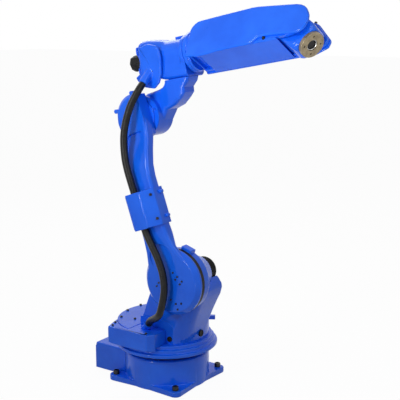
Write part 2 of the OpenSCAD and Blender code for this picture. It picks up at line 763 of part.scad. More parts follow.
// Hose from the cable box to the cover: up past the disc, then along the arm
module hose_lower() {
    y = hose_y - 4;
    mouth = [gland_at[0], gland_at[1], rear_top] + (gland_l + run_gap) * gland_way();
    color(black) tube(concat([mouth], curve([
        mouth + 4 * gland_way(),
        mouth + 26 * gland_way(),
        on_arm([-76, y + 3, -104]),
        on_arm([-40, y, -62]),
        on_arm([-14, y, -14]),
        on_arm([-2, y, 38]),
        on_arm([-3, y, 92]),
        on_arm([-12, y, 142]),
        on_arm([hose_n + 4, hose_y - 1, cover_from - 22]),
        on_arm([hose_n, hose_y, cover_from + 10]),
        on_arm([hose_n, hose_y, cover_from + 40])], 3)), hose_r, 10);
}

// Hose from the cover to the elbow bracket, following the arm's bend
module hose_upper() {
    top = cover_from + cover_l;
    lean = hose_end_lean;
    level = cos(hose_end_tilt);
    hose_way = -[level * sin(lean), sin(hose_end_tilt), level * cos(lean)];
    color(black) tube(curve([
        on_arm([hose_n, hose_y, top - 40]),
        on_arm([hose_n, hose_y, top + 4]),
        on_arm([hose_n - 1, hose_y, arm_length - 222]),
        on_arm([hose_n - 5, hose_y + 5, arm_length - 181]),
        on_arm([hose_n - 8, hose_y + 13, arm_length - 140]),
        on_arm([hose_n - 6, hose_y + 22, arm_length - 99]),
        on_arm([hose_n + 2, hose_y + 29, arm_length - 59]),
        on_arm([hose_n + 17, hose_y + 36, arm_length - 21]),
        on_arm([hose_n + 37, hose_y + 44, arm_length + 15]),
        on_arm([hose_n + 59, hose_y + 55, arm_length + 48]),
        on_elbow(hose_end + 36 * hose_way),
        on_elbow(hose_end + 1.5 * hose_way)], 3), hose_r, 10);
}

base_casting();
bearing_ring();
connector_box();
power_socket();
signal_socket();
turntable();
swivel_casting();
shoulder_housing();
shoulder_boss();
shoulder_motor();
rear_housing();
rear_cover();
cable_box();
cable_gland();
lower_arm_casting();
hose_cover();
elbow_boss();
elbow_casting();
elbow_cap();
roll_housing();
rear_plate();
rear_cap();
hose_bracket();
roll_ring();
forearm_collar();
forearm_casting();
drive_cover_right();
drive_cover_left();
belly_cover();
pivot_right();
pivot_left();
wrist_housing();
tool_flange();
hose_lower();
hose_upper();
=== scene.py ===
"""Looks for an industrial robot arm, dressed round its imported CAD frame. Metres, +Z up."""

import json
import math

import bmesh
import bpy
from mathutils import Matrix, Vector
from mathutils.bvhtree import BVHTree
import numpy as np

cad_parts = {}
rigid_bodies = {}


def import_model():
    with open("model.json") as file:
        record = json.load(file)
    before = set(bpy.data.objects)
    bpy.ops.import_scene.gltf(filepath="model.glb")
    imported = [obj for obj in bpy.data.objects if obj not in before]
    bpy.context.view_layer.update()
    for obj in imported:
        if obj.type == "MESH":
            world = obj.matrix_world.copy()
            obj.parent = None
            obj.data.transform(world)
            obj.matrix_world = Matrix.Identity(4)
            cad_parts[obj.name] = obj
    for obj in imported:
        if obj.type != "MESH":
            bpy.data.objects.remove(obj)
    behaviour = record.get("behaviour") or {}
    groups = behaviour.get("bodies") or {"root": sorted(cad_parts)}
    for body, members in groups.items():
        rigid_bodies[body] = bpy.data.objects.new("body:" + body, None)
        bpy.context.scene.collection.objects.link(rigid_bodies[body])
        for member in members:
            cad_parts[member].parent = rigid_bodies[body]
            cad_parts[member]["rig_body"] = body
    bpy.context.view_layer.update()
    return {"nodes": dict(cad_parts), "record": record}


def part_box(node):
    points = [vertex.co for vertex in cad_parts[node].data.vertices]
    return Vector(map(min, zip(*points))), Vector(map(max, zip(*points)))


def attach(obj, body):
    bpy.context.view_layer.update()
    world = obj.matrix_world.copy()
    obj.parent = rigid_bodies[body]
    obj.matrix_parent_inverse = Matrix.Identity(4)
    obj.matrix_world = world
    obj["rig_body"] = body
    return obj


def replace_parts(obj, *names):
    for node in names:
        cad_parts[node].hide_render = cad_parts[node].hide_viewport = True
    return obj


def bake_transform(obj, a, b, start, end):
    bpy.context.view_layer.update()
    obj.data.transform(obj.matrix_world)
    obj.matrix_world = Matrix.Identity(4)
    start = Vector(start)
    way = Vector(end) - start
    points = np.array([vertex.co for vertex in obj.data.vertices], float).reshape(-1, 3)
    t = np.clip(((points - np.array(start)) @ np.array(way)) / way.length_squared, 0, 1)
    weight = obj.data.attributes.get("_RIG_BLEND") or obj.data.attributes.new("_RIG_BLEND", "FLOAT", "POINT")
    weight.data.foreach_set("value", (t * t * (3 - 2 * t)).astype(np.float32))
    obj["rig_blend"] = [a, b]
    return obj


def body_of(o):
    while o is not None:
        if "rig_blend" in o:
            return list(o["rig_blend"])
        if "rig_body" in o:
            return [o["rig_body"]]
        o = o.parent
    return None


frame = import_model()
NODES = frame["nodes"]

# Axes and rest pose, as in the part's own source
SHOULDER = Vector((0.155, 0, 0.450))
ARM_LENGTH = 0.614
ELBOW_RISE = 0.200
FOREARM_LENGTH = 0.640
ARM_LEAN, FOREARM_PITCH, FOREARM_ROLL, WRIST_BEND = 19.5, 10.35, 32.0, 43.2
HOSE_RADIUS = 0.0135
FOOT_TOP = 0.022


def turn(axis, degrees):
    """A turn about one axis."""
    return Matrix.Rotation(math.radians(degrees), 4, axis)


# Local frames of the moving pieces at rest
ARM = Matrix.Translation(SHOULDER) @ turn("Y", -ARM_LEAN)
ELBOW = ARM @ Matrix.Translation((0, 0, ARM_LENGTH)) @ turn("Y", ARM_LEAN - FOREARM_PITCH)
ROLL = ELBOW @ Matrix.Translation((0, 0, ELBOW_RISE)) @ turn("X", -FOREARM_ROLL)
WRIST = ROLL @ Matrix.Translation((FOREARM_LENGTH, 0, 0)) @ turn("Y", WRIST_BEND)
WORLD = Matrix.Identity(4)


def make_camera():
    """Camera at the photograph's viewing angle."""
    data = bpy.data.cameras.new("camera")
    data.sensor_width = 36
    data.lens = 81.0
    cam = bpy.data.objects.new("camera", data)
    cam.location = (2.0055, -2.6973, 1.3771)
    right, up = Vector((0.8247, 0.5655, 0)), Vector((-0.1107, 0.1615, 0.9806))
    back = right.cross(up)
    cam.rotation_mode = "QUATERNION"
    cam.rotation_quaternion = Matrix((right, up, back)).transposed().to_quaternion()
    bpy.context.scene.collection.objects.link(cam)
    bpy.context.scene.camera = cam


make_camera()

# Materials


class Shader:
    """A small builder for one procedural material."""

    def __init__(self, name):
        self.material = bpy.data.materials.new(name)
        self.material.use_nodes = True
        self.tree = self.material.node_tree
        self.tree.nodes.clear()
        self.out = self.add("ShaderNodeOutputMaterial")
        self.surface = self.add("ShaderNodeBsdfPrincipled")
        self.link(self.surface.outputs[0], self.out.inputs["Surface"])

    def add(self, kind, **values):
        node = self.tree.nodes.new(kind)
        for key, value in values.items():
            setattr(node, key, value)
        return node

    def link(self, a, b):
        self.tree.links.new(a, b)

    def set(self, **values):
        for key, value in values.items():
            self.surface.inputs[key.replace("_", " ")].default_value = value

    def position(self):
        return self.add("ShaderNodeTexCoord").outputs["Object"]

    def noise(self, scale, detail=3.0, rough=0.5):
        node = self.add("ShaderNodeTexNoise")
        node.inputs["Scale"].default_value = scale
        node.inputs["Detail"].default_value = detail
        node.inputs["Roughness"].default_value = rough
        self.link(self.position(), node.inputs["Vector"])
        return node.outputs[0]

    def ramp(self, value, low, high, a, b):
        node = self.add("ShaderNodeMapRange")
        for key, number in zip(("From Min", "From Max", "To Min", "To Max"), (low, high, a, b)):
            node.inputs[key].default_value = number
        self.link(value, node.inputs["Value"])
        return node.outputs["Result"]

    def math(self, kind, a, b):
        node = self.add("ShaderNodeMath", operation=kind)
        for socket, value in zip(node.inputs, (a, b)):
            if isinstance(value, (int, float)):
                socket.default_value = value
            else:
                self.link(value, socket)
        return node.outputs[0]

    def mix(self, factor, a, b):
        node = self.add("ShaderNodeMix", data_type="RGBA")
        self.link(factor, node.inputs["Factor"])
        for name, value in (("A", a), ("B", b)):
            socket = [s for s in node.inputs if s.name == name and s.type == "RGBA"][0]
            if isinstance(value, tuple):
                socket.default_value = (*value, 1)
            else:
                self.link(value, socket)
        return [s for s in node.outputs if s.type == "RGBA"][0]

    def edges(self, radius, low=0.02, high=0.25):
        """1 on worn edges, 0 on flats: how far the rounded normal leaves the true one."""
        rounded = self.add("ShaderNodeBevel", samples=6)
        rounded.inputs["Radius"].default_value = radius
        true = self.add("ShaderNodeNewGeometry").outputs["Normal"]
        dot = self.add("ShaderNodeVectorMath", operation="DOT_PRODUCT")
        self.link(rounded.outputs[0], dot.inputs[0])
        self.link(true, dot.inputs[1])
        return self.ramp(dot.outputs["Value"], 1 - low, 1 - high, 0, 1)

    def bump(self, height, strength, distance, soft_edge=0.0):
        node = self.add("ShaderNodeBump")
        if soft_edge:
            rounded = self.add("ShaderNodeBevel", samples=6)
            rounded.inputs["Radius"].default_value = soft_edge
            self.link(rounded.outputs[0], node.inputs["Normal"])
        node.inputs["Strength"].default_value = strength
        node.inputs["Distance"].default_value = distance
        self.link(height, node.inputs["Height"])
        self.link(node.outputs[0], self.surface.inputs["Normal"])


def blue_paint():
    """Glossy enamel on castings: faint orange peel, cloudy tone, dark specks and rubbed edges."""
    s = Shader("blue_paint")
    cloud = s.noise(9, 3, 0.55)
    tone = s.mix(s.ramp(cloud, 0.35, 0.68, 0, 1), (0.004, 0.112, 0.80), (0.009, 0.142, 0.90))
    fleck = s.ramp(s.noise(620, 2, 0.6), 0.66, 0.74, 0, 0.35)
    tone = s.mix(fleck, tone, (0.006, 0.07, 0.48))
    wear = s.math("MULTIPLY", s.edges(0.0016), s.ramp(s.noise(85, 4, 0.7), 0.5, 0.66, 0, 0.5))
    tone = s.mix(wear, tone, (0.12, 0.26, 0.74))
    s.link(tone, s.surface.inputs["Base Color"])
    s.link(s.ramp(s.noise(26, 4, 0.6), 0.3, 0.75, 0.27, 0.40), s.surface.inputs["Roughness"])
    s.set(Specular_IOR_Level=0.10, Coat_Weight=0.36, Coat_Roughness=0.05)
    peel = s.math("ADD", s.noise(330, 2, 0.5), s.math("MULTIPLY", s.noise(95, 2, 0.5), 0.6))
    s.bump(peel, 0.10, 0.0006, 0.002)
    return s.material


def black_plastic():
    """Moulded black cover: fine grain, dust and rubbed edges."""
    s = Shader("black_plastic")
    dust = s.ramp(s.noise(24, 5, 0.65), 0.42, 0.72, 0, 0.55)
    tone = s.mix(dust, (0.006, 0.006, 0.0065), (0.024, 0.023, 0.021))
    wear = s.math("MULTIPLY", s.edges(0.0012), s.ramp(s.noise(120, 3, 0.6), 0.45, 0.65, 0, 0.6))
    tone = s.mix(wear, tone, (0.11, 0.11, 0.11))
    s.link(tone, s.surface.inputs["Base Color"])
    s.link(s.ramp(s.noise(60, 3, 0.5), 0.3, 0.7, 0.38, 0.58), s.surface.inputs["Roughness"])
    s.set(Specular_IOR_Level=0.16)
    s.bump(s.noise(900, 2, 0.5), 0.18, 0.0004)
    return s.material


def steel():
    """Blackened steel: dark oxide, brighter where it is rubbed, with oil stains."""
    s = Shader("steel")
    stain = s.ramp(s.noise(40, 5, 0.6), 0.4, 0.7, 0, 1)
    tone = s.mix(stain, (0.036, 0.036, 0.038), (0.020, 0.019, 0.018))
    wear = s.math("MULTIPLY", s.edges(0.0008), s.ramp(s.noise(150, 3, 0.6), 0.4, 0.6, 0.05, 0.5))
    tone = s.mix(wear, tone, (0.24, 0.24, 0.25))
    s.link(tone, s.surface.inputs["Base Color"])
    s.link(s.ramp(s.noise(180, 4, 0.6), 0.3, 0.7, 0.26, 0.46), s.surface.inputs["Roughness"])
    s.set(Metallic=0.85)
    s.bump(s.noise(700, 2, 0.5), 0.08, 0.0003)
    return s.material


def bronze_flange():
    """Plated tool flange: warm metal with fine scratches and darker stains."""
    s = Shader("bronze_flange")
    stain = s.ramp(s.noise(70, 5, 0.65), 0.38, 0.7, 0, 1)
    tone = s.mix(stain, (0.34, 0.275, 0.17), (0.20, 0.16, 0.105))
    wear = s.math("MULTIPLY", s.edges(0.0010), 0.7)
    tone = s.mix(wear, tone, (0.55, 0.48, 0.36))
    s.link(tone, s.surface.inputs["Base Color"])
    s.link(s.ramp(s.noise(260, 4, 0.6), 0.3, 0.7, 0.30, 0.50), s.surface.inputs["Roughness"])
    s.set(Metallic=0.6)
    s.bump(s.noise(800, 2, 0.5), 0.10, 0.0003)
    return s.material


def hose_rubber():
    """Black conduit: satin, with grey scuffs on the crests."""
    s = Shader("hose_rubber")
    scuff = s.ramp(s.noise(55, 5, 0.65), 0.45, 0.7, 0, 0.7)
    tone = s.mix(scuff, (0.005, 0.005, 0.0055), (0.018, 0.0175, 0.017))
    s.link(tone, s.surface.inputs["Base Color"])
    s.link(s.ramp(s.noise(140, 3, 0.5), 0.3, 0.7, 0.26, 0.38), s.surface.inputs["Roughness"])
    s.set(Specular_IOR_Level=0.22)
    s.bump(s.noise(1100, 2, 0.5), 0.15, 0.0003)
    return s.material


def bright_steel():
    """Machined bright steel: fine turning marks and a little haze."""
    s = Shader("bright_steel")
    haze = s.ramp(s.noise(90, 4, 0.6), 0.35, 0.7, 0, 1)
    s.link(s.mix(haze, (0.60, 0.60, 0.59), (0.42, 0.42, 0.41)), s.surface.inputs["Base Color"])
    s.link(s.ramp(s.noise(200, 3, 0.5), 0.3, 0.7, 0.20, 0.34), s.surface.inputs["Roughness"])
    s.set(Metallic=1.0)
    s.bump(s.noise(1500, 2, 0.5), 0.10, 0.0003)
    return s.material


MATERIALS = {make.__name__: make() for make in (
    blue_paint, black_plastic, steel, bronze_flange, hose_rubber, bright_steel)}
SLOT_OF = {row["node"]: row["material_slot"] for row in frame["record"]["subparts"]}

# Pieces


def piece(name, mesh, slot, body=None, sharp=32):
    """Makes mesh a smooth-shaded object in one material; body is what it rides on."""
    obj = bpy.data.objects.new(name, mesh)
    bpy.context.scene.collection.objects.link(obj)
    mesh.materials.clear()
    mesh.materials.append(MATERIALS[slot])
    count = len(mesh.polygons)
    mesh.polygons.foreach_set("material_index", [0] * count)
    mesh.polygons.foreach_set("use_smooth", [True] * count)
    mesh.set_sharp_from_angle(angle=math.radians(sharp))
    if body:
        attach(obj, body)
    return obj


def skin(name, bm):
    """The mesh of bm, with its faces turned outward."""
    bmesh.ops.recalc_face_normals(bm, faces=bm.faces)
    mesh = bpy.data.meshes.new(name)
    bm.to_mesh(mesh)
    bm.free()
    return mesh


def spline(points, steps):
    """Catmull-Rom curve through points."""
    line = []
    for i in range(len(points) - 1):
        a, b = points[max(i - 1, 0)], points[i]
        c, d = points[i + 1], points[min(i + 2, len(points) - 1)]
        for k in range(steps):
            t = k / steps
            line.append(0.5 * (
                2 * b + (c - a) * t + (2 * a - 5 * b + 4 * c - d) * t * t
                + (3 * b - a - 3 * c + d) * t ** 3))
    return line + [points[-1]]


def even(line, pitch):
    """Points along line at an even pitch."""
    points, left = [line[0]], pitch
    for a, b in zip(line, line[1:]):
        span = (b - a).length
        while span >= left:
            a = a.lerp(b, left / span)
            points.append(a)
            span, left = (b - a).length, pitch
        left -= span
    return points


RIB_PITCH, RIB_DEPTH = 0.0048, 0.0004
RIB_PROFILE = (1, 1 / 3, 0, 1 / 3)
ROUTE_STEPS = 12
HOSE_SIDES = 20


def hose(name, route, bodies, start, end):
    """A ribbed conduit along route, which bends from one body to the next."""
    path = even(spline(route, ROUTE_STEPS), RIB_PITCH / len(RIB_PROFILE))
    bm = bmesh.new()
    rings, side = [], None
    for i, point in enumerate(path):
        way = (path[min(i + 1, len(path) - 1)] - path[max(i - 1, 0)]).normalized()
        side = way.orthogonal() if side is None else side - way * side.dot(way)
        side.normalize()
        other = way.cross(side)
        radius = HOSE_RADIUS - RIB_DEPTH * RIB_PROFILE[i % len(RIB_PROFILE)]
        rings.append([
            bm.verts.new(point + radius * (math.cos(t) * side + math.sin(t) * other))
            for t in (2 * math.pi * k / HOSE_SIDES for k in range(HOSE_SIDES))])
    for a, b in zip(rings, rings[1:]):
        for k in range(HOSE_SIDES):
            bm.faces.new((a[k - 1], a[k], b[k], b[k - 1]))
    bm.faces.new(rings[0])
    bm.faces.new(rings[-1])
    obj = piece(name + "_tube", skin(name, bm), "hose_rubber", sharp=60)
    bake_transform(obj, *bodies, start=start, end=end)
    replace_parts(obj, name)


def points_in(matrix, rows):
    """Rows of matrix's frame as points of the world."""
    return [matrix @ Vector(row) for row in rows]


# Where the hoses leave the cable gland and enter the elbow's bracket
GLAND_WAY = Vector((0.6436, -0.3716, 0.6691))
MOUTH = Vector((0.010, -0.1477, 0.240)) + 0.0404 * GLAND_WAY
SOCKET_TILT, SOCKET_LEAN = math.radians(45), math.radians(15)
SOCKET_WAY = -Vector((
    math.cos(SOCKET_TILT) * math.sin(SOCKET_LEAN), math.sin(SOCKET_TILT),
    math.cos(SOCKET_TILT) * math.cos(SOCKET_LEAN)))
SOCKET = Vector((0.048, -0.106, 0.116))

hose(
    "hose_lower",
    [MOUTH, MOUTH + 0.004 * GLAND_WAY, MOUTH + 0.026 * GLAND_WAY] + points_in(ARM, [
        (-0.076, -0.2105, -0.104), (-0.040, -0.2135, -0.062), (-0.014, -0.2135, -0.014),
        (-0.002, -0.2135, 0.038), (-0.003, -0.2135, 0.092), (-0.012, -0.2135, 0.142),
        (-0.024, -0.2105, 0.190), (-0.028, -0.2095, 0.222), (-0.028, -0.2095, 0.252)]),
    ("swivel", "lower_arm"), MOUTH + 0.02 * GLAND_WAY, ARM @ Vector((-0.003, -0.2135, 0.092)))
hose(
    "hose_upper",
    points_in(ARM, [
        (-0.028, -0.2095, 0.306), (-0.028, -0.2095, 0.350), (-0.029, -0.2095, 0.392),
        (-0.033, -0.2045, 0.433), (-0.036, -0.1965, 0.474), (-0.034, -0.1875, 0.515),
        (-0.026, -0.1805, 0.555), (-0.011, -0.1735, 0.593), (0.009, -0.1655, 0.629),
        (0.031, -0.1545, 0.662)]) + points_in(ELBOW, [
            SOCKET + 0.036 * SOCKET_WAY, SOCKET + 0.0015 * SOCKET_WAY]),
    ("lower_arm", "elbow"), ARM @ Vector((-0.034, -0.1875, 0.515)), ELBOW @ (SOCKET + 0.02 * SOCKET_WAY))


# Finish of the CAD nodes: edge widths, and limits that keep a rounding on its node's surface
WELD = 0.00002
FLAT_ANGLE, HARD_ANGLE = math.radians(0.5), math.radians(34)
PLAIN_EDGE = 0.0025
EDGE = {
    "base_casting": 0.004, "connector_box": 0.006, "cable_box": 0.007, "hose_cover": 0.008,
    "hose_bracket": 0.006, "rear_cover": 0.004, "rear_housing": 0.004, "rear_plate": 0.003,
    "swivel_casting": 0.005, "lower_arm_casting": 0.004, "elbow_casting": 0.004, "roll_housing": 0.005,
    "forearm_casting": 0.003, "tool_flange": 0.0008, "power_socket": 0.0015, "signal_socket": 0.0015,
}
ROUND_STEPS = 3
CHAIN_SHARE, SIDE_SHARE = 0.8, 0.42
LEAST_TURN, MOST_TURN = 0.02, 3.0
LEAST_SHARE = 0.15
STRAY_SHARE, STRAY_REACH, SLACK = 0.34, 2.5, 0.00005
TRIES = 6
REMADE = ("hose_lower", "hose_upper", "rear_cap", "shoulder_motor")


def bevel_room(edge, hard):
    """How wide a bevel edge can take without running into its neighbours."""
    room = 1.0
    for vert in edge.verts:
        chain = [e for e in vert.link_edges if e in hard]
        for other in vert.link_edges:
            if other is edge:
                continue
            if other in hard and len(chain) == 2:
                one, two = (e.other_vert(vert).co - vert.co for e in (edge, other))
                bend = math.pi - one.angle(two, 0)
                turning = max(2 * math.tan(min(bend, MOST_TURN) / 2), LEAST_TURN)
                room = min(room, CHAIN_SHARE * min(edge.calc_length(), other.calc_length()) / turning)
            else:
                room = min(room, SIDE_SHARE * other.calc_length())
    return room


def rounded_mesh(obj, width):
    """obj's mesh with its weighted edges rounded."""
    rounding = obj.modifiers.new("rounding", "BEVEL")
    rounding.width = width
    rounding.segments = ROUND_STEPS
    rounding.limit_method = "WEIGHT"
    rounding.use_clamp_overlap = False
    graph = bpy.context.evaluated_depsgraph_get()
    shape = bpy.data.meshes.new_from_object(obj.evaluated_get(graph))
    obj.modifiers.clear()
    return shape


def refine(node, width, slot=None):
    """A copy of a CAD node that stands for it: faces joined, hard edges rounded, curves smooth.

    An edge whose rounding would leave the node's true surface or its box stays as it is.
    """
    bm = bmesh.new()
    bm.from_mesh(NODES[node].data)
    bmesh.ops.remove_doubles(bm, verts=bm.verts, dist=WELD)
    true = BVHTree.FromBMesh(bm)
    low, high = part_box(node)
    bmesh.ops.dissolve_limit(bm, angle_limit=FLAT_ANGLE, verts=bm.verts, edges=bm.edges)
    hard = {e for e in bm.edges if len(e.link_faces) == 2 and e.calc_face_angle(0) > HARD_ANGLE}
    bm.edges.index_update()
    spans = {e.index: (e.verts[0].co.copy(), e.verts[1].co.copy()) for e in hard}
    shares = [0.0] * len(bm.edges)
    for edge in hard:
        share = min(bevel_room(edge, hard) / width, 1)
        shares[edge.index] = share if share > LEAST_SHARE else 0
    mesh = bpy.data.meshes.new(node + "_finish")
    bm.to_mesh(mesh)
    bm.free()
    for name in ("custom_normal", "sharp_edge"):
        if name in mesh.attributes:
            mesh.attributes.remove(mesh.attributes[name])
    mesh.attributes.new("bevel_weight_edge", "FLOAT", "EDGE")
    obj = piece(node + "_finish", mesh, slot or SLOT_OF[node])
    for _ in range(TRIES):
        mesh.attributes["bevel_weight_edge"].data.foreach_set("value", shares)
        mesh.update()
        shape = rounded_mesh(obj, width)
        stray = [
            v.co.copy() for v in shape.vertices
            if true.find_nearest(v.co)[3] > STRAY_SHARE * width
            or any(v.co[k] < low[k] - SLACK or v.co[k] > high[k] + SLACK for k in range(3))]
        if not stray:
            break
        for index, (a, b) in spans.items():
            middle, reach = (a + b) / 2, (a - b).length / 2 + STRAY_REACH * width
            if shares[index] and any((point - middle).length < reach for point in stray):
                shares[index] = 0.0
    else:
        shape = mesh.copy()
    obj.data = shape
    shape.polygons.foreach_set("use_smooth", [True] * len(shape.polygons))
    shape.set_sharp_from_angle(angle=HARD_ANGLE)
    even_out = obj.modifiers.new("normals", "WEIGHTED_NORMAL")
    even_out.keep_sharp = True
    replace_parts(obj, node)
    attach(obj, body_of(NODES[node])[0])


for node_name in NODES:
    if node_name not in REMADE:
        painted = "blue_paint" if node_name == "cable_gland" else None
        refine(node_name, EDGE.get(node_name, PLAIN_EDGE), painted)

# Fasteners and fittings: how deep a head sinks, how far off its seat is sought, vertices to a tooth
SINK = 0.002
SIGHT = 0.4
KNURL = 4


def turned(bm, rows, place, count=24):
    """Adds rings of (radius, height) about place's Z axis to bm, joined into one closed skin.

    A third value above 0 gives a ring that many flats; below 0 it is the depth of a knurl.
    """
    rings = []
    for radius, height, *sides in rows:
        if radius <= 0:
            rings.append([bm.verts.new(place @ Vector((0, 0, height)))])
            continue
        ring = []
        for i in range(count):
            t = 2 * math.pi * i / count
            r = radius
            if sides and sides[0] > 0:
                half = math.pi / sides[0]
                r *= math.cos(half) / math.cos(t % (2 * half) - half)
            elif sides:
                r += sides[0] * (i % KNURL < KNURL / 2)
            ring.append(bm.verts.new(place @ Vector((r * math.cos(t), r * math.sin(t), height))))
        rings.append(ring)
    for a, b in zip(rings, rings[1:]):
        for i in range(count):
            j = (i + 1) % count
            corners = (a[i % len(a)], a[j % len(a)], b[j % len(b)], b[i % len(b)])
            bm.faces.new(list(dict.fromkeys(corners)))


def facing(location, way):
    """A frame at location with its Z axis along way."""
    return Matrix.Translation(location) @ Vector(way).to_track_quat("Z", "Y").to_matrix().to_4x4()


def seat(node, matrix, point, way):
    """A frame on node, square to its surface, where a line through point in matrix's frame meets it."""
    bm = bmesh.new()
    bm.from_mesh(NODES[node].data)
    tree = BVHTree.FromBMesh(bm)
    bm.free()
    aim = (matrix.to_3x3() @ Vector(way)).normalized()
    hit, normal, _, _ = tree.ray_cast(matrix @ Vector(point) - SIGHT * aim, aim)
    if hit is None:
        raise ValueError(f"nothing of {node} under {point}")
    return facing(hit, normal)


def cap_screw(radius, height):
    """Socket-head screw with a rounded rim and a hexagon socket."""
    return [
        (0, -SINK), (radius, -SINK), (radius, 0.8 * height), (0.94 * radius, 0.94 * height),
        (0.84 * radius, height), (0.56 * radius, height, 6), (0.56 * radius, 0.4 * height, 6),
        (0, 0.4 * height)]


def hex_bolt(radius, height, washer):
    """Hexagon bolt head with a chamfered top on a washer."""
    rise = 0.25 * height
    return [
        (0, -SINK), (washer, -SINK), (washer, 0.8 * rise), (0.96 * washer, rise), (1.02 * radius, rise),
        (radius, rise, 6), (radius, rise + 0.88 * height, 6), (0.86 * radius, rise + height),
        (0, rise + height)]


def plug(radius, height):
    """Low round plug with a raised rim."""
    return [
        (0, -SINK), (radius, -SINK), (radius, 0.7 * height), (0.92 * radius, height),
        (0.78 * radius, height), (0.70 * radius, 0.6 * height), (0.25 * radius, 0.6 * height),
        (0, 0.7 * height)]


def fittings(name, body, slot, rows, seats):
    """One piece of several like fasteners, each on its own seat."""
    bm = bmesh.new()
    for place in seats:
        turned(bm, rows, place)
    piece(name, skin(name, bm), slot, body)


def lathe(name, body, slot, rows, place, count):
    """One turned piece."""
    bm = bmesh.new()
    turned(bm, rows, place, count)
    return piece(name, skin(name, bm), slot, body)


DOWN, TO_BACK, FROM_FRONT = (0, 0, -1), (0, 1, 0), (-1, 0, 0)
FLOOR_BOLTS = (-0.1425, 0.1425)
fittings("floor_bolts", "base", "steel", cap_screw(0.012, 0.015), [
    facing((x, y, FOOT_TOP), (0, 0, 1)) for x in FLOOR_BOLTS for y in FLOOR_BOLTS])
fittings("rear_screws", "swivel", "steel", cap_screw(0.0050, 0.005), [
    seat("rear_cover", WORLD, (x, y, 0.3), DOWN) for x, y in (
        (-0.178, -0.024), (-0.148, -0.100), (-0.089, -0.089), (-0.178, 0.060), (-0.120, 0.130))])
fittings("cable_box_screws", "swivel", "steel", cap_screw(0.0046, 0.005), [
    seat("cable_box", WORLD, (x, y, 0.3), DOWN) for x, y in (
        (-0.112, -0.196), (-0.125, -0.165), (0.050, -0.200))])
fittings("neck_plug", "swivel", "black_plastic", plug(0.013, 0.005), [
    seat("swivel_casting", WORLD, (0.164, -0.007, 0.210), FROM_FRONT)])
fittings("oil_plug", "swivel", "black_plastic", plug(0.010, 0.006), [
    seat("swivel_casting", WORLD, (0.100, -0.133, 0.206), TO_BACK)])
fittings("disc_screws", "lower_arm", "steel", cap_screw(0.0036, 0.003), [
    seat("lower_arm_casting", ARM, (across, -0.185, up), TO_BACK) for across, up in (
        (0.022, 0.034), (0.036, 0.016), (0.050, -0.004), (0.024, 0.008), (0.038, -0.012), (-0.021, -0.060),
        (-0.004, -0.078), (0.020, -0.081), (-0.003, -0.099), (-0.067, 0), (-0.054, 0.010))])
fittings("hose_cover_screws", "lower_arm", "steel", cap_screw(0.0052, 0.005), [
    seat("hose_cover", ARM, (0.040, -0.230, up), TO_BACK) for up in (0.325, 0.237)])

# Black lip seal round the arm's disc, made wider and deeper than a seal would be so that it is also painted
# shade in the gap between the disc and the shoulder housing.
SEAL_SHADE_IN, SEAL_SHADE_OUT, SEAL_SHADE_NEAR, SEAL_SHADE_FAR, SEAL_SHADE_EASE = 0.1172, 0.1205, 0.1440, 0.1612, 0.0008
lathe("shoulder_seal_and_shade", "swivel", "black_plastic", [
    (SEAL_SHADE_IN, SEAL_SHADE_NEAR), (SEAL_SHADE_OUT, SEAL_SHADE_NEAR), (SEAL_SHADE_OUT, SEAL_SHADE_FAR - SEAL_SHADE_EASE), (0.1198, SEAL_SHADE_FAR),
    (SEAL_SHADE_IN, SEAL_SHADE_FAR), (SEAL_SHADE_IN, SEAL_SHADE_NEAR)], facing(SHOULDER, (0, -1, 0)), 96)

CAP_RADIUS, CAP_GROOVE, CAP_HEIGHT, CAP_FLATS = 0.031, 0.0285, 0.058, 8
CAP_RIB_START, CAP_RIB_PITCH, CAP_RIB_WIDTH, CAP_RIBS = 0.004, 0.0062, 0.0046, 7
ribs = [
    (radius, CAP_RIB_START + CAP_RIB_PITCH * k + rise, CAP_FLATS)
    for k in range(CAP_RIBS) for radius, rise in ((CAP_GROOVE, 0), (CAP_RADIUS, CAP_RIB_WIDTH))]
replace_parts(lathe("rear_cap_ribbed", "elbow", "black_plastic", [
    (0, 0), (CAP_RADIUS, 0, CAP_FLATS), (CAP_RADIUS, 0.0035, CAP_FLATS), *ribs, (0.0295, 0.0565, CAP_FLATS),
    (0.024, CAP_HEIGHT, CAP_FLATS), (0, CAP_HEIGHT)],
    facing(ELBOW @ Vector((-0.002, 0, ELBOW_RISE)), ELBOW.to_3x3() @ Vector((-1, 0, 0))), 24), "rear_cap")

MOTOR_RIM, MOTOR_BODY, MOTOR_FIN, RIM_KNURL = 0.057, 0.0475, 0.051, -0.0025
FIN_START, FIN_PITCH, FINS = 0.016, 0.007, 5
fins = [
    (radius, FIN_START + FIN_PITCH * k + rise) for k in range(FINS)
    for radius, rise in ((MOTOR_BODY, 0), (MOTOR_FIN, 0.0008), (MOTOR_FIN, 0.0038), (MOTOR_BODY, 0.0046))]
motor_foot = Vector((SHOULDER.x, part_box("shoulder_motor")[0].y, SHOULDER.z))
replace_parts(lathe("shoulder_motor_ribbed", "swivel", "black_plastic", [
    (0, 0), (MOTOR_RIM, 0, RIM_KNURL), (MOTOR_RIM, 0.011, RIM_KNURL), (0.0545, 0.012), (MOTOR_BODY, 0.0125),
    *fins, (0.0495, 0.050), (0.047, 0.056), (0.041, 0.0615), (0.030, 0.0615), (0.028, 0.060), (0, 0.060)],
    facing(motor_foot, (0, 1, 0)), 96), "shoulder_motor")

fittings("elbow_screws", "elbow", "blue_paint", cap_screw(0.005, 0.0035), [
    seat("elbow_casting", ELBOW, (x, -0.2, z), TO_BACK) for x, z in (
        (0.020, 0.060), (0.046, 0.052), (0.060, 0.020))])
fittings("fork_bolts", "forearm", "steel", hex_bolt(0.0048, 0.004, 0.0065), [
    seat("forearm_casting", ROLL, (0.560, -0.2, -0.048), TO_BACK)])
fittings("cover_bolt", "forearm", "steel", cap_screw(0.0055, 0.009), [
    seat("drive_cover_left", ROLL, (0.668, 0.069, 0.2), DOWN)])

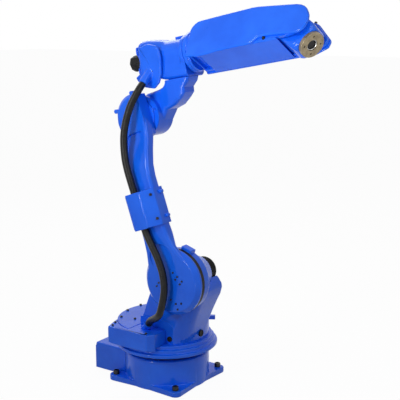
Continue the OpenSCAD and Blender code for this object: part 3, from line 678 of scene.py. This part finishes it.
BORE_FLOOR, SLEEVE_IN, SLEEVE_OUT, SLEEVE_TOP, BORE_SHADE_RADIUS = 0.0872, 0.0166, 0.0196, 0.0093, 0.0164
bore = facing(WRIST @ Vector((BORE_FLOOR, 0, 0)), WRIST.to_3x3() @ Vector((1, 0, 0)))
lathe("flange_sleeve", "flange", "bright_steel", [
    (SLEEVE_IN, 0), (SLEEVE_OUT, 0), (SLEEVE_OUT, 0.0085), (0.0188, SLEEVE_TOP), (0.0174, SLEEVE_TOP),
    (SLEEVE_IN, 0.0085), (SLEEVE_IN, 0)], bore, 48)
# A thin dark steel disc at the bottom of the bore: painted shade that makes the bore look dark.
lathe("flange_bore_shade", "flange", "steel", [
    (0, 0.0004), (BORE_SHADE_RADIUS, 0.0004), (BORE_SHADE_RADIUS, 0.0012), (0.0130, 0.0026), (0.0100, 0.0012), (0, 0.0012)],
    bore, 48)

# Stage
FLOOR_HALF = 30.0
FLOOR_GLOW, FLOOR_SHOWN = 1.04, 0.92
AMBIENT, BACKDROP = 0.25, 1.0
WHITE = (1, 1, 1, 1)
MIRRORED_RAYS = ("Is Glossy Ray", "Is Transmission Ray")
# Name, place, aim, width, height, watts and spread in degrees
LAMPS = (
    ("key", (-0.3, -2.4, 2.4), (0.2, -0.1, 1.2), 0.6, 0.6, 4.4, 80),
    ("strip", (-0.2, -2.4, 1.5), (0.1, -0.1, 1.3), 0.25, 1.9, 2.6, 60),
    ("low", (1.0, -1.8, 0.25), (0.5, 0, 1.34), 0.8, 0.8, 2.3, 42),
    ("fill", (2.8, -0.9, 3.2), (0.2, 0, 0.8), 2.0, 2.0, 21, 150),
    ("rim", (-2.2, 1.6, 3.4), (0.1, 0, 0.8), 2.0, 2.0, 31, 150),
)


def make_stage():
    """A pale seamless floor, a white world and five soft lamps."""
    scene = bpy.context.scene
    mesh = bpy.data.meshes.new("floor")
    corners = [(x * FLOOR_HALF, y * FLOOR_HALF, 0) for x, y in ((-1, -1), (1, -1), (1, 1), (-1, 1))]
    mesh.from_pydata(corners, [], [(0, 1, 2, 3)])
    floor = bpy.data.objects.new("floor", mesh)
    scene.collection.objects.link(floor)
    s = Shader("floor")
    grain = s.ramp(s.noise(3, 2, 0.5), 0.3, 0.7, 0, 1)
    s.link(s.mix(grain, (0.50, 0.50, 0.50), (0.54, 0.54, 0.54)), s.surface.inputs["Base Color"])
    s.set(Roughness=0.9)
    path = s.add("ShaderNodeLightPath")
    glow = s.add("ShaderNodeEmission")
    glow.inputs["Color"].default_value = WHITE
    glow.inputs["Strength"].default_value = FLOOR_GLOW
    blend = s.add("ShaderNodeMixShader")
    s.link(s.surface.outputs[0], blend.inputs[1])
    s.link(glow.outputs[0], blend.inputs[2])
    seen = path.outputs["Is Camera Ray"]
    for ray in MIRRORED_RAYS:
        seen = s.math("MAXIMUM", seen, path.outputs[ray])
    s.link(s.math("MULTIPLY", seen, FLOOR_SHOWN), blend.inputs[0])
    s.link(blend.outputs[0], s.out.inputs["Surface"])
    mesh.materials.append(s.material)

    world = bpy.data.worlds.new("studio")
    world.use_nodes = True
    nodes, links = world.node_tree.nodes, world.node_tree.links
    nodes.clear()
    light = nodes.new("ShaderNodeLightPath")
    seen = light.outputs["Is Camera Ray"]
    for ray in MIRRORED_RAYS:
        total = nodes.new("ShaderNodeMath")
        total.operation = "MAXIMUM"
        links.new(seen, total.inputs[0])
        links.new(light.outputs[ray], total.inputs[1])
        seen = total.outputs[0]
    ambient, shown = nodes.new("ShaderNodeBackground"), nodes.new("ShaderNodeBackground")
    for sky, strength in ((ambient, AMBIENT), (shown, BACKDROP)):
        sky.inputs["Color"].default_value = WHITE
        sky.inputs["Strength"].default_value = strength
    mix, out = nodes.new("ShaderNodeMixShader"), nodes.new("ShaderNodeOutputWorld")
    links.new(seen, mix.inputs[0])
    links.new(ambient.outputs[0], mix.inputs[1])
    links.new(shown.outputs[0], mix.inputs[2])
    links.new(mix.outputs[0], out.inputs["Surface"])
    scene.world = world

    for name, place, aim, wide, tall, power, spread in LAMPS:
        data = bpy.data.lights.new(name, "AREA")
        data.shape = "RECTANGLE"
        data.size, data.size_y, data.energy, data.spread = wide, tall, power, math.radians(spread)
        lamp = bpy.data.objects.new(name, data)
        lamp.location = place
        lamp.rotation_euler = (Vector(aim) - Vector(place)).to_track_quat("-Z", "Y").to_euler()
        scene.collection.objects.link(lamp)
    scene.view_settings.view_transform = "Standard"


make_stage()
